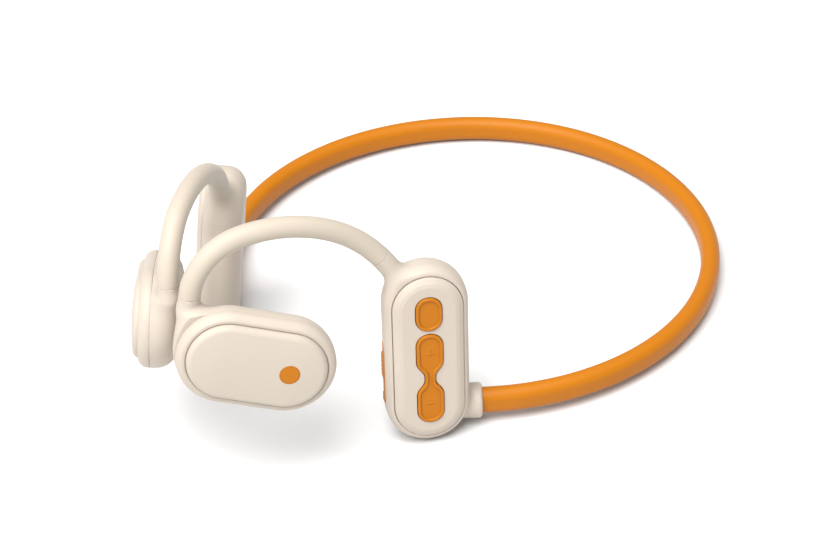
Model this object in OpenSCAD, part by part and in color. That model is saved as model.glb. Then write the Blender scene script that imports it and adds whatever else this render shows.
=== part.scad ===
// Bone conduction headphones: a neckband between two battery and control housings, an ear hook
// from the top of each housing, and a vibrating pod on the end of each hook.
// Millimetres, +Z up, +X forward, +Y to the wearer's left. The origin is on the table, at the
// middle of the object's outline. The right half mirrors the left one, apart from the controls.

/* [Neckband] */
// Radius of the band's centre line
band_radius = 57; // [54:1:62]
// Thickness of the band, measured towards the neck
band_thickness = 4.4; // [4.0:0.1:5.0]
// Height of the band
band_height = 6.0; // [5.4:0.1:6.6]
// Angle from straight ahead at which the band leaves each collar
band_start = 42; // [41:0.5:44]
// Diameter of the spring wire in the band
band_wire_d = 1.2; // [0.8:0.1:1.4]
// Diameter of the cable in the band
band_cable_d = 1.2; // [0.8:0.1:1.4]
// Diameter of the collar that holds each end of the band
collar_d = 7.8; // [7.4:0.1:8.4]

/* [Housing] */
// Height of a housing
housing_height = 42.4; // [42:0.2:44]
// Width of a housing, front to back
housing_width = 18.3; // [18:0.1:19]
// Depth of the rounded inner side, from the housing's middle plane
housing_inner_depth = 3.9; // [3.9:0.05:4.2]
// Wall of the inner side
housing_wall = 1.2; // [1.0:0.1:1.4]
// Turn of each housing towards the front
housing_toe_in = 38.7; // [36:0.5:41]
// Lean of the outer face upwards
housing_tilt = 6.2; // [4:0.2:8]
// Lean of the top towards the back
housing_lean = 1.4; // [0:0.2:3]
// Width of the outer cover
cover_width = 15.2; // [14.8:0.1:15.3]

/* [Keys] */
// Width of the multifunction button
button_width = 5.6; // [5.4:0.1:6.2]
// Height of the multifunction button
button_height = 7.8; // [7.4:0.1:8.0]
// Travel of the multifunction button
button_travel = 0.35; // [0.2:0.05:0.35]
// Width of the volume rocker
rocker_width = 5.7; // [5.6:0.1:6.2]
// Height of each end of the volume rocker
rocker_lobe = 9.2; // [9.0:0.1:9.3]
// Gap between the keys and the cover
key_gap = 0.25; // [0.2:0.05:0.3]

/* [Ear hook] */
// Diameter of the hook
hook_d = 4.6; // [4.2:0.1:5.0]
// Radius of the front bend
hook_front_radius = 13.4; // [13:0.1:14]
// Angle of the front bend
hook_front_angle = 79; // [77:1:81]
// Radius of the long bend over the ear
hook_top_radius = 31.8; // [31:0.1:33]
// Angle of the long bend over the ear
hook_top_angle = 60; // [58:1:61]
// Diameter of the memory wire in the hook
hook_wire_d = 0.9; // [0.6:0.1:1.1]
// Diameter of the cable in the hook
hook_cable_d = 1.0; // [0.6:0.1:1.1]

/* [Pod] */
// Length of a pod
pod_length = 33.6; // [33:0.2:35]
// Height of a pod
pod_height = 21.2; // [21:0.1:22]
// Depth of the inner shell, from the seam's plane towards the head
pod_inner_depth = 5.9; // [5.7:0.1:6.2]
// Height of the outer shell's shoulder over the seam's plane
pod_shoulder = 2.5; // [2.4:0.1:2.7]
// Turn of each pod towards the front
pod_toe_in = 41.3; // [39:0.5:44]
// Lean of the faceplate upwards
pod_tilt = 5.5; // [4:0.5:7]
// Rise of the pod's front end
pod_rake = 17.2; // [15:0.2:19]
// Diameter of the round inlay on the faceplate
badge_d = 4.4; // [3:0.2:5]
// Travel of the driver's magnet each way
driver_travel = 0.3; // [0.1:0.05:0.3]

/* [Hidden] */
$fn = 64;

cream = [0.90, 0.85, 0.78];
orange = [0.88, 0.52, 0.15];
steel = [0.62, 0.63, 0.65];

// Places, from the centre of the band's circle.
housing_pos = [51.1, 29.5, 15.7];
pod_pos = [87.3, 15.0, 26.5];
hook_foot = [93.2, 3.0, 39.6];
hook_heading = 151.6;
hook_lean = 3.4;
// Standing on the table, the band's plane leans back a little, and the outline is centred.
rest_tilt = -1.224;
table_shift = [-20.28, 0, 4.217];

fit_gap = 0.05;
seam_gap = 0.1;

// Housing, measured from its middle plane: x forward, y outward, z up.
housing_inner_r = 4.4;
housing_outer_r = 3.6;
housing_shoulder = 2.3;
rim_depth = 4.9;
ledge_depth = 3.6;
seal_thickness = 0.4;
cover_low = ledge_depth + seal_thickness;
cover_face = 6.2;
cover_bevel = 1.4;
cavity_width = 14.4;
cavity_floor = housing_wall - housing_inner_depth;
end_centre = (housing_height - housing_width) / 2;
cover_height = cover_width + 2 * end_centre - 0.8;
cavity_height = cavity_width + 2 * end_centre;
shell_core = [(housing_width / 2) - housing_inner_r, housing_inner_r - housing_inner_depth];

// Keys, on the left cover.
key_face = 6.55;
key_foot = 3.05;
flange_thickness = 0.5;
button_z = 11.1;
rocker_z = -4.5;
neck_width = 2.2;
neck_length = 3;
lobe_offset = (rocker_lobe + neck_length) / 2;
key_corner = 2.7;
rocker_pin_d = 1.1;
rocker_pin_y = 3.2;
rocker_pin_length = 5.2;

// Charging port, in the front edge of the left housing.
port_z = -5.2;
port_y = -0.1;
port_floor = 8.0;
flap_length = 15.2;
flap_width = 4.2;
flap_proud = 0.15;
grip_size = [0.7, 3.0, 5.9];
grip_rise = 1.5;
flap_pivot = [8.75, 0, port_z - flap_length / 2 + 0.6];
flap_barrel_d = 0.9;
flap_strap = 1.1;
flap_strap_width = 2.2;
socket_size = [7.3, 3.26, 8.94];
socket_wall = 0.3;

// Pod, measured from the seam's plane: x forward, y outward, z up.
pod_inner_r = 4.65;
pod_outer_r = 2.2;
pod_wall = 1.2;
seam_y = -0.2;
plate_width = 17.2;
plate_length = plate_width + pod_length - pod_height;
plate_low = 1.6;
plate_crest = 4.1;
pod_cavity_width = 18.4;
pod_cavity_length = pod_cavity_width + pod_length - pod_height;
badge_x = -6.7;
badge_depth = 0.5;
pad_length = 21;
pad_width = 9.6;
pad_depth = 0.5;
stem_base = [12.2, -4.8, 0.8];
stem_depth = 4.4;
stem_low_r = 2.2;
stem_high_r = 3.6;

// Driver, round, in the middle of the pod.
basket_r = 8.2;
basket_floor = -4.65;
basket_top = 0.8;
basket_wall = 1.5;
basket_corner = 2.4;
coil_r = 4.2;
coil_wall = 0.7;
yoke_r = 6.2;
yoke_wall = 0.8;
pole_r = 3.7;
magnet_r = 3.4;
spring_r = 7.55;
spring_thickness = 0.2;
spring_room = driver_travel + 0.1;

// Every part stands in the frame of the band's circle, and this puts that circle on the table.
module on_table() {
    translate(table_shift) rotate([0, rest_tilt, 0]) children();
}

// Side 1 is the wearer's left, side -1 the right.
module side(s) {
    on_table() mirror([0, s < 0 ? 1 : 0, 0]) children();
}

module in_housing(s = 1) {
    side(s) translate(housing_pos) rotate([0, 0, -housing_toe_in])
        rotate([housing_tilt, 0, 0]) rotate([0, -housing_lean, 0]) children();
}

module in_pod(s = 1) {
    side(s) translate(pod_pos) rotate([0, 0, -pod_toe_in])
        rotate([pod_tilt, 0, 0]) rotate([0, -pod_rake, 0]) children();
}

// Turns a shape that lies flat, long in x and thick in z, upright in a housing or a pod.
module upright() {
    rotate([0, -90, 0]) rotate([-90, 0, 0]) children();
}

module sideways() {
    rotate([-90, 0, 0]) children();
}

// Runs a half profile, distance from the spine by height, round an outline with round ends.
module oblong(length, width) {
    half = (length - width) / 2;
    for (end = [-1, 1])
        translate([end * half, 0, 0]) rotate([0, 0, -90 * end])
            rotate_extrude(angle = 180) children();
    translate([-half, 0, 0]) rotate([90, 0, 90]) linear_extrude(2 * half) {
        children();
        mirror([1, 0]) children();
    }
}

// A straight-sided slice of an oblong.
module oblong_slab(length, width, low, high) {
    oblong(length, width) translate([0, low]) square([width / 2, high - low]);
}

// A rectangle with round corners.
module round_rectangle(width, height, r) {
    square([width, height - 2 * r], center = true);
    square([width - 2 * r, height], center = true);
    for (x = [-1, 1], y = [-1, 1])
        translate([x * (width / 2 - r), y * (height / 2 - r)]) circle(r);
}

// ---- Neckband ----

// Part of a ring in the band's plane, between two angles from straight ahead.
module band_arc(from, to, height = 0) {
    translate([0, 0, height]) rotate([0, 0, from])
        rotate_extrude(angle = to - from, $fn = 128) translate([band_radius, 0]) children();
}

// Outline of the band: a rectangle with round top and bottom.
module band_section(grow = 0) {
    straight = band_height - band_thickness;
    square([band_thickness + 2 * grow, straight], center = true);
    for (end = [-1, 1]) translate([0, end * straight / 2]) circle(d = band_thickness + 2 * grow);
}

collar_depth = 4;
collar_root = 34;
band_wire_z = 1.35;
anchor_angle = 35;
anchor_turn = 1.2;
anchor_size = 2;

module neckband_sleeve() {
    color(orange) on_table() band_arc(band_start - collar_depth, 360 - band_start + collar_depth)
        difference() {
            band_section();
            translate([0, band_wire_z]) circle(d = band_wire_d + 2 * fit_gap);
            translate([0, -band_wire_z]) circle(d = band_cable_d + 2 * fit_gap);
        }
}

module neckband_wire() {
    color(steel) on_table() band_arc(anchor_angle, 360 - anchor_angle, band_wire_z)
        circle(d = band_wire_d);
}

module neckband_cable() {
    color([0.2, 0.2, 0.2]) on_table() band_arc(anchor_angle - 2, 362 - anchor_angle, -band_wire_z)
        circle(d = band_cable_d);
}

// Crimped block that ties the wire into a housing.
module band_anchor(s) {
    color(steel) side(s) band_arc(anchor_angle - anchor_turn, anchor_angle + anchor_turn, band_wire_z)
        difference() {
            square(anchor_size, center = true);
            circle(d = band_wire_d + 2 * fit_gap);
        }
}

// ---- Ear hook ----

// The foot is the local origin, z runs up along the hook there, and x points to the inside of
// the bend. Two bends in one plane follow each other without a kink, and the last stretch swings
// out of that plane towards the housing.
hook_total = hook_front_angle + hook_top_angle;
swing_start = 117;
swing_width = 0.85;
hook_wire_offset = 0.85;
hook_cable_offset = -0.85;
hook_lead_in = 9;
sleeve_start = 5;
hook_lead_out = 9.5;
hook_root_length = 8;
bend_steps = 16;
hook_sides = 24;

function inward(angle) = [cos(angle), 0, -sin(angle)];
function along(angle) = [sin(angle), 0, cos(angle)];
hook_front_centre = hook_front_radius * inward(0);
hook_top_centre = (hook_top_radius - hook_front_radius) * inward(hook_front_angle) + hook_front_centre;
hook_end = hook_top_centre - hook_top_radius * inward(hook_total) - [0, swing_width, 0];

function front_point(turn) = hook_front_centre - hook_front_radius * inward(turn);

// The swing grows with the square of the angle, so it starts without a kink.
function swing(turn) =
    [0, turn < swing_start ? 0 : -swing_width * pow((turn - swing_start) / (hook_total - swing_start), 2), 0];
swing_slope = 2 * swing_width / ((hook_total - swing_start) * PI / 180 * hook_top_radius);
hook_exit = along(hook_total) - [0, swing_slope, 0];

// Stations along the hook, each a point of its middle line and the angle turned so far. A line
// that runs on past an end has its last station there outside the hook.
function hook_stations(lead_in, lead_out) = concat(
    lead_in > 0 ? [[-lead_in * along(0), 0]] : [[front_point(sleeve_start), sleeve_start]],
    [for (i = [lead_in > 0 ? 1 : 2 : bend_steps - 1]) let (turn = hook_front_angle * i / bend_steps)
        [front_point(turn), turn]],
    [for (i = [0:bend_steps - 1]) let (turn = hook_front_angle + hook_top_angle * i / bend_steps)
        [hook_top_centre - hook_top_radius * inward(turn) + swing(turn), turn]],
    [[hook_end + lead_out * hook_exit, hook_total]]
);

module at_hook_foot() {
    translate(hook_foot) rotate([0, 0, hook_heading]) rotate([0, hook_lean, 0]) children();
}

// A round line through stations. The offset is its distance from them, towards the outside.
module line_through(stations, d, offset, sides) {
    last = len(stations) - 1;
    points = [for (station = stations, k = [0:sides - 1])
        station[0] + (d / 2 * cos(360 * k / sides) - offset) * inward(station[1])
            + [0, d / 2 * sin(360 * k / sides), 0]];
    walls = [for (i = [0:last - 1], k = [0:sides - 1])
        let (next = (k + 1) % sides)
        [i * sides + k, (i + 1) * sides + k, (i + 1) * sides + next, i * sides + next]];
    foot_cap = [[for (k = [0:sides - 1]) k]];
    end_cap = [[for (k = [sides - 1:-1:0]) last * sides + k]];
    at_hook_foot() polyhedron(points, concat(foot_cap, walls, end_cap));
}

module hook_line(d, offset = 0, lead_in = 0, lead_out = 0, sides = 8) {
    line_through(hook_stations(lead_in, lead_out), d, offset, sides);
}

module hook_bores() {
    hook_line(hook_wire_d + 4 * fit_gap, hook_wire_offset, hook_lead_in + 0.3, hook_lead_out + 0.3);
    hook_line(hook_cable_d + 4 * fit_gap, hook_cable_offset, hook_lead_in + 2, hook_lead_out + 2);
}

module hook_sleeve(s) {
    color(cream) side(s) difference() {
        hook_line(hook_d, sides = hook_sides);
        hook_bores();
    }
}

module hook_wire(s) {
    color(steel) side(s) hook_line(hook_wire_d, hook_wire_offset, hook_lead_in, hook_lead_out);
}

module hook_cable(s) {
    color([0.75, 0.3, 0.15]) side(s)
        hook_line(hook_cable_d, hook_cable_offset, hook_lead_in, hook_lead_out);
}

// ---- Housings ----

// Half profile of the housing's outside.
module housing_profile() {
    middle = housing_width / 2 - housing_outer_r;
    translate([0, -housing_inner_depth]) square([shell_core[0], rim_depth + housing_inner_depth]);
    intersection() {
        translate(shell_core) circle(housing_inner_r);
        translate([0, -housing_inner_depth]) square([housing_width, housing_inner_r]);
    }
    translate([0, shell_core[1]]) square([housing_width / 2, housing_shoulder - shell_core[1]]);
    translate([0, housing_shoulder]) square([middle, rim_depth - housing_shoulder]);
    intersection() {
        translate([middle, housing_shoulder]) circle(housing_outer_r);
        translate([0, housing_shoulder]) square([housing_width, rim_depth - housing_shoulder]);
    }
}

module housing_body() {
    upright() oblong(housing_height, housing_width) housing_profile();
}

module housing_cavity() {
    corner = housing_inner_r - housing_wall;
    spine = cavity_width / 2 - corner;
    upright() {
        oblong(cavity_height, cavity_width) {
            translate([0, cavity_floor]) square([spine, corner]);
            intersection() {
                translate([spine, cavity_floor + corner]) circle(corner);
                translate([0, cavity_floor]) square([housing_width, corner]);
            }
            translate([0, cavity_floor + corner])
                square([cavity_width / 2, ledge_depth - cavity_floor - corner + 0.01]);
        }
        oblong_slab(cover_height + 2 * seam_gap, cover_width + 2 * seam_gap, ledge_depth, cover_face);
    }
}

// Collar and hook root that grow out of the housing. The collar is flush with its inner side.
module housing_arms(s) {
    intersection() {
        side(s) band_arc(collar_root, band_start) circle(d = collar_d);
        in_housing(s) translate([-housing_width, -housing_inner_depth - 0.2, -housing_height])
            cube([2 * housing_width, housing_width, housing_height]);
    }
    side(s) {
        line_through([[hook_end, hook_total], [hook_end + hook_root_length * hook_exit, hook_total]],
            hook_d, 0, hook_sides);
    }
}

module housing_shell(s) {
    color(cream) difference() {
        union() {
            in_housing(s) housing_body();
            housing_arms(s);
        }
        in_housing(s) housing_cavity();
        side(s) {
            band_arc(band_start - collar_depth - 0.2, band_start + 1) band_section(fit_gap);
            band_arc(anchor_angle - 5, band_start + 1, band_wire_z) circle(d = band_wire_d + 2 * fit_gap);
            band_arc(anchor_angle - 5, band_start + 1, -band_wire_z) circle(d = band_cable_d + 2 * fit_gap);
            band_arc(anchor_angle - anchor_turn - 0.1, anchor_angle + anchor_turn + 0.1, band_wire_z)
                square(anchor_size + 2 * fit_gap, center = true);
            hook_bores();
        }
        if (s > 0) in_housing() {
            port_recess();
            translate([mic_place[0], mic_place[1], -housing_height / 2 - 1]) cylinder(d = 1, h = 5);
        }
    }
}

// Half profile of the cover: straight edge, bevel and a flat face.
module cover_profile() {
    half = cover_width / 2;
    polygon([
        [0, cover_low], [half, cover_low], [half, rim_depth + 0.3],
        [half - 0.2, rim_depth + 0.5], [half - cover_bevel, cover_face], [0, cover_face]
    ]);
}

module cover_body() {
    upright() oblong(cover_height, cover_width) cover_profile();
}

// A shape in the plane of the cover, between two depths. It is drawn with x forward and y up.
module key_prism(low, high) {
    translate([0, high, 0]) rotate([90, 0, 0]) linear_extrude(high - low) children();
}

module button_shape(grow = 0) {
    translate([0, button_z])
        round_rectangle(button_width + 2 * grow, button_height + 2 * grow, key_corner + grow);
}

module rocker_shape(grow = 0) {
    translate([0, rocker_z]) {
        square([neck_width + 2 * grow, neck_length + 4], center = true);
        for (end = [-1, 1])
            translate([0, end * lobe_offset])
                round_rectangle(rocker_width + 2 * grow, rocker_lobe + 2 * grow, key_corner + grow);
    }
}

module left_housing_cover() {
    ear = 0.9;
    color(cream) in_housing() difference() {
        union() {
            cover_body();
            for (x = [-1, 1])
                translate([x * (neck_width / 2 + key_gap + ear / 2 + 0.15), 3.35, rocker_z])
                    cube([ear, 1.7, 2.4], center = true);
        }
        key_prism(cover_low - 1, cover_face + 1) button_shape(key_gap);
        key_prism(cover_low - 1, cover_face + 1) rocker_shape(key_gap);
        translate([0, rocker_pin_y, rocker_z]) rotate([0, 90, 0])
            cylinder(d = rocker_pin_d + 0.16, h = 8, center = true);
    }
}

module right_housing_cover() {
    color(cream) in_housing(-1) cover_body();
}

module cover_seal(s) {
    color([0.35, 0.35, 0.36]) in_housing(s) upright() difference() {
        oblong_slab(cover_height, cover_width, ledge_depth, cover_low);
        oblong_slab(cover_height - 0.9, cover_width - 0.7, ledge_depth - 1, cover_low + 1);
    }
}

// Dish in the top of a key, which leaves a rim round it.
module dish(shape_width, shape_height) {
    round_rectangle(shape_width - 1.2, shape_height - 1.2, key_corner - 0.6);
}

module power_button() {
    color(orange) in_housing() difference() {
        union() {
            key_prism(key_foot, key_face) button_shape();
            translate([0, key_foot + flange_thickness / 2, button_z])
                cube([button_width + 1.6, flange_thickness, button_height - 2], center = true);
        }
        key_prism(key_face - 0.3, key_face + 1)
            translate([0, button_z]) dish(button_width, button_height);
    }
}

module volume_rocker() {
    color(orange) in_housing() difference() {
        union() {
            key_prism(key_foot, key_face) rocker_shape();
            for (end = [-1, 1])
                translate([0, key_foot + flange_thickness / 2, rocker_z + end * lobe_offset])
                    cube([rocker_width + 1.2, flange_thickness, rocker_lobe - 3], center = true);
            translate([0, rocker_pin_y, rocker_z]) rotate([0, 90, 0])
                cylinder(d = rocker_pin_d, h = rocker_pin_length, center = true);
        }
        for (end = [-1, 1])
            key_prism(key_face - 0.3, key_face + 1)
                translate([0, rocker_z + end * lobe_offset]) dish(rocker_width, rocker_lobe);
    }
}

key_board_y = [1.6, 2.2];
switch_height = key_foot - key_board_y[1] - button_travel - 0.1;

module key_board() {
    color([0.1, 0.35, 0.2]) in_housing() key_prism(key_board_y[0], key_board_y[1])
        translate([0, -0.5]) round_rectangle(9, 31, 1);
}

module key_switches() {
    color(steel) in_housing()
        for (z = [button_z, rocker_z + lobe_offset + 1.5, rocker_z - lobe_offset - 1.5])
            key_prism(key_board_y[1], key_board_y[1] + switch_height) translate([0, z]) circle(d = 3.4);
}

// The main board carries the socket, with the chip above it on the same face.
main_board_top = port_y - socket_size[1] / 2;
main_board_thickness = 0.7;

module main_board() {
    color([0.1, 0.35, 0.2]) in_housing() {
        key_prism(main_board_top - main_board_thickness, main_board_top)
            translate([0, 1]) round_rectangle(9.8, 20, 1);
        key_prism(main_board_top, main_board_top + 0.9) translate([0, 7]) square([6, 6], center = true);
    }
}

// ---- Charging port ----

// An oblong prism along x, long in z, used for the port and its flap.
module port_prism(length, width, low, high) {
    translate([low, 0, 0]) rotate([0, 90, 0])
        linear_extrude(high - low) {
            square([length - width, width], center = true);
            for (end = [-1, 1]) translate([end * (length - width) / 2, 0]) circle(d = width);
        }
}

module port_recess() {
    translate([0, port_y, port_z]) {
        port_prism(flap_length + 0.3, flap_width + 0.3, port_floor, housing_width);
        port_prism(socket_size[2] + 0.2, socket_size[1] + 0.2, 0, housing_width);
    }
}

module usb_socket() {
    color(steel) in_housing() translate([0, port_y, port_z]) {
        difference() {
            port_prism(socket_size[2], socket_size[1], port_floor - socket_size[0], port_floor);
            port_prism(socket_size[2] - 2 * socket_wall, socket_size[1] - 2 * socket_wall,
                port_floor - socket_size[0] + 1.5, port_floor + 1);
        }
        translate([port_floor - 3.6, 0, 0]) cube([4.6, 0.7, 6.7], center = true);
    }
}

module port_cover() {
    color(orange) in_housing() {
        difference() {
            union() {
                intersection() {
                    translate([0, port_y, port_z])
                        port_prism(flap_length, flap_width, port_floor + fit_gap, housing_width);
                    upright() oblong(housing_height + 2 * flap_proud, housing_width + 2 * flap_proud)
                        flap_skin();
                    translate([0, -housing_width / 2, flap_pivot[2] + flap_strap])
                        cube([housing_width, housing_width, housing_height]);
                }
                translate([housing_width / 2, port_y, port_z + grip_rise]) cube(grip_size, center = true);
                translate([flap_pivot[0], port_y, flap_pivot[2]]) rotate([90, 0, 0])
                    cylinder(d = flap_barrel_d, h = flap_strap_width, center = true);
                translate([flap_pivot[0] - 0.4, port_y - flap_strap_width / 2, flap_pivot[2]])
                    cube([0.8, flap_strap_width, flap_strap + 0.5]);
                translate([0, port_y, port_z])
                    port_prism(7.8, 2.4, port_floor - 0.9, port_floor + 0.5);
            }
            translate([0, port_y, port_z]) port_prism(6.6, 1.2, port_floor - 2, port_floor + 0.2);
        }
    }
}

// Half profile of a band round the housing, up to the flap's outer face. It follows the
// housing's round inner edge.
module flap_skin() {
    r = housing_inner_r + flap_proud;
    reach = housing_width / 2 + flap_proud;
    outer_edge = port_y + flap_width / 2 + 0.1;
    round_edge = [for (turn = [-45:9:0]) shell_core + r * [cos(turn), sin(turn)]];
    polygon(concat(
        [[0, round_edge[0][1]]],
        round_edge,
        [[reach, outer_edge - 0.4], [reach - 0.2, outer_edge], [0, outer_edge]]
    ));
}

mic_place = [1.5, 0.6, -17.9];

module microphone() {
    color(steel) in_housing() translate(mic_place) cube([2.4, 2.4, 1], center = true);
}

// ---- Right housing's contents ----

module battery() {
    color([0.55, 0.6, 0.68]) in_housing(-1) key_prism(-2.4, 1.0)
        translate([0, 1]) round_rectangle(10, 24, 1);
}

module battery_board() {
    color([0.1, 0.35, 0.2]) in_housing(-1) key_prism(1.4, 2.0)
        translate([0, 2]) round_rectangle(9, 20, 1);
}

// ---- Pods ----

// Half profile of the inner shell's outside.
module inner_profile(grow = 0) {
    r = pod_inner_r + grow;
    spine = pod_height / 2 - pod_inner_r;
    centre = pod_inner_r - pod_inner_depth;
    translate([0, centre - r]) square([spine, seam_y - centre + r]);
    intersection() {
        translate([spine, centre]) circle(r);
        translate([0, centre - r]) square([pod_height, r]);
    }
    translate([0, centre]) square([pod_height / 2 + grow, seam_y - centre]);
}

module pod_cavity() {
    corner = pod_inner_r - pod_wall;
    spine = pod_cavity_width / 2 - corner;
    floor_y = pod_wall - pod_inner_depth;
    sideways() oblong(pod_cavity_length, pod_cavity_width) {
        translate([0, floor_y]) square([spine, 1 - floor_y]);
        intersection() {
            translate([spine, floor_y + corner]) circle(corner);
            translate([0, floor_y]) square([pod_height, corner]);
        }
        translate([0, floor_y + corner]) square([pod_cavity_width / 2, 1 - floor_y - corner]);
    }
}

// Stem from the pod's front end up to the foot of the hook.
module stem(s) {
    hull() {
        side(s) at_hook_foot() translate(front_point(sleeve_start)) rotate([0, sleeve_start, 0])
            translate([0, 0, -0.4]) cylinder(d = hook_d, h = 0.4, $fn = 32);
        in_pod(s) translate(stem_base) sideways()
            cylinder(r1 = stem_low_r, r2 = stem_high_r, h = stem_depth, $fn = 32);
    }
}

module pod_inner_shell(s) {
    color(cream) difference() {
        union() {
            in_pod(s) sideways() oblong(pod_length, pod_height) inner_profile();
            stem(s);
        }
        in_pod(s) {
            pod_cavity();
            sideways() oblong_slab(pad_length + 0.1, pad_width + 0.1,
                -pod_inner_depth - 1, pad_depth - pod_inner_depth);
        }
        side(s) hook_bores();
    }
}

// Shoulder ring between the seam and the faceplate, with a lip that plugs into the inner shell.
module pod_outer_shell(s) {
    spine = pod_height / 2 - pod_outer_r;
    low = pod_shoulder - pod_outer_r;
    color(cream) in_pod(s) sideways() difference() {
        oblong(pod_length, pod_height) {
            translate([0, seam_y]) square([pod_height / 2, low - seam_y]);
            translate([0, low]) square([spine, pod_outer_r]);
            intersection() {
                translate([spine, low]) circle(pod_outer_r);
                translate([0, low]) square([pod_height, pod_outer_r]);
            }
        }
        oblong_slab(pod_cavity_length - 0.6, pod_cavity_width - 0.6, seam_y - 1, 0.9);
        oblong_slab(pod_cavity_length - 3.2, pod_cavity_width - 3.2, 0, plate_low + 1);
        oblong_slab(plate_length + 2 * seam_gap, plate_width + 2 * seam_gap,
            plate_low - fit_gap, plate_crest);
    }
}

// Half profile of the crowned faceplate.
module plate_profile() {
    half = plate_width / 2;
    edge = 1.0;
    edge_top = 3.55;
    crown_r = 52;
    intersection() {
        translate([0, plate_crest - crown_r]) circle(crown_r, $fn = 256);
        union() {
            translate([0, plate_low]) square([half, edge_top - edge - plate_low]);
            translate([0, plate_low]) square([half - edge, plate_crest - plate_low]);
            translate([half - edge, edge_top - edge]) circle(edge);
        }
    }
}

module faceplate(s) {
    color(cream) in_pod(s) sideways() difference() {
        oblong(plate_length, plate_width) plate_profile();
        oblong_slab(plate_length - 4, plate_width - 4, plate_low - 1, plate_low + 1.1);
        translate([badge_x, 0, plate_crest - badge_depth])
            cylinder(d = badge_d + 0.1, h = 2);
    }
}

module badge(s) {
    color(orange) in_pod(s) sideways()
        translate([badge_x, 0, plate_crest - badge_depth]) cylinder(d = badge_d, h = badge_depth);
}

module skin_pad(s) {
    color([0.84, 0.79, 0.71]) in_pod(s) sideways()
        oblong_slab(pad_length, pad_width, -pod_inner_depth, pad_depth - pod_inner_depth);
}

// ---- Driver ----

// Half profile of the basket's outside, with a round lower edge that follows the pod's corner.
module basket_profile() {
    spine = basket_r - basket_corner;
    middle = basket_floor + basket_corner;
    translate([0, basket_floor]) square([spine, basket_top - basket_floor]);
    translate([0, middle]) square([basket_r, basket_top - middle]);
    intersection() {
        translate([spine, middle]) circle(basket_corner);
        translate([0, basket_floor]) square([basket_r, basket_corner]);
    }
}

// A turned ring or disc on the driver's axis.
module turned(r_in, r_out, low, high) {
    translate([0, 0, low]) difference() {
        cylinder(r = r_out, h = high - low);
        if (r_in > 0) translate([0, 0, -1]) cylinder(r = r_in, h = high - low + 2);
    }
}

module driver_basket(s) {
    color([0.2, 0.2, 0.22]) in_pod(s) sideways() difference() {
        rotate_extrude() basket_profile();
        turned(0, basket_r - basket_wall, basket_floor + 0.45, basket_top + 1);
        turned(0, spring_r + 0.2, -spring_room, spring_thickness + spring_room);
        turned(0, 2, basket_floor - 1, basket_floor + 1);
    }
}

module voice_coil(s) {
    color([0.75, 0.42, 0.2]) in_pod(s) sideways()
        turned(coil_r, coil_r + coil_wall, basket_floor + 0.45, -2.2);
}

module yoke(s) {
    color(steel) in_pod(s) sideways() difference() {
        turned(0, yoke_r, -3.5, 0);
        turned(0, yoke_r - yoke_wall, -4, -0.9);
    }
}

module magnet(s) {
    color([0.75, 0.75, 0.78]) in_pod(s) sideways() turned(0, magnet_r, -2.7, -0.9);
}

module pole_plate(s) {
    color(steel) in_pod(s) sideways() turned(0, pole_r, -3.4, -2.7);
}

// Thin spring that carries the magnet, its rim held in the basket's groove.
module spring_plate(s) {
    color(steel) in_pod(s) sideways() difference() {
        turned(0, spring_r, 0, spring_thickness);
        for (turn = [0:120:240]) rotate([0, 0, turn]) translate([0, 0, -1])
            rotate_extrude(angle = 90) translate([6.55, 0]) square([0.4, 2]);
    }
}

neckband_sleeve();
neckband_wire();
neckband_cable();
band_anchor(1);  // left_band_anchor
band_anchor(-1);  // right_band_anchor
housing_shell(1);  // left_housing_shell
housing_shell(-1);  // right_housing_shell
left_housing_cover();
right_housing_cover();
cover_seal(1);  // left_cover_seal
cover_seal(-1);  // right_cover_seal
power_button();
volume_rocker();
key_board();
key_switches();
main_board();
usb_socket();
port_cover();
microphone();
battery();
battery_board();
hook_sleeve(1);  // left_hook_sleeve
hook_sleeve(-1);  // right_hook_sleeve
hook_wire(1);  // left_hook_wire
hook_wire(-1);  // right_hook_wire
hook_cable(1);  // left_hook_cable
hook_cable(-1);  // right_hook_cable
pod_inner_shell(1);  // left_pod_inner_shell
pod_inner_shell(-1);  // right_pod_inner_shell
pod_outer_shell(1);  // left_pod_outer_shell
pod_outer_shell(-1);  // right_pod_outer_shell
faceplate(1);  // left_faceplate
faceplate(-1);  // right_faceplate
badge(1);  // left_badge
badge(-1);  // right_badge
skin_pad(1);  // left_skin_pad
skin_pad(-1);  // right_skin_pad
driver_basket(1);  // left_driver_basket
driver_basket(-1);  // right_driver_basket
voice_coil(1);  // left_voice_coil
voice_coil(-1);  // right_voice_coil
yoke(1);  // left_yoke
yoke(-1);  // right_yoke
magnet(1);  // left_magnet
magnet(-1);  // right_magnet
pole_plate(1);  // left_pole_plate
pole_plate(-1);  // right_pole_plate
spring_plate(1);  // left_spring_plate
spring_plate(-1);  // right_spring_plate
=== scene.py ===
"""Looks of a pair of bone conduction headphones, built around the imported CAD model.

Shapes are worked out in millimetres in each part's own frame, x forward, y outward and z up,
and are placed on the table in metres. The right side mirrors the left one.
"""

import math

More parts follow.
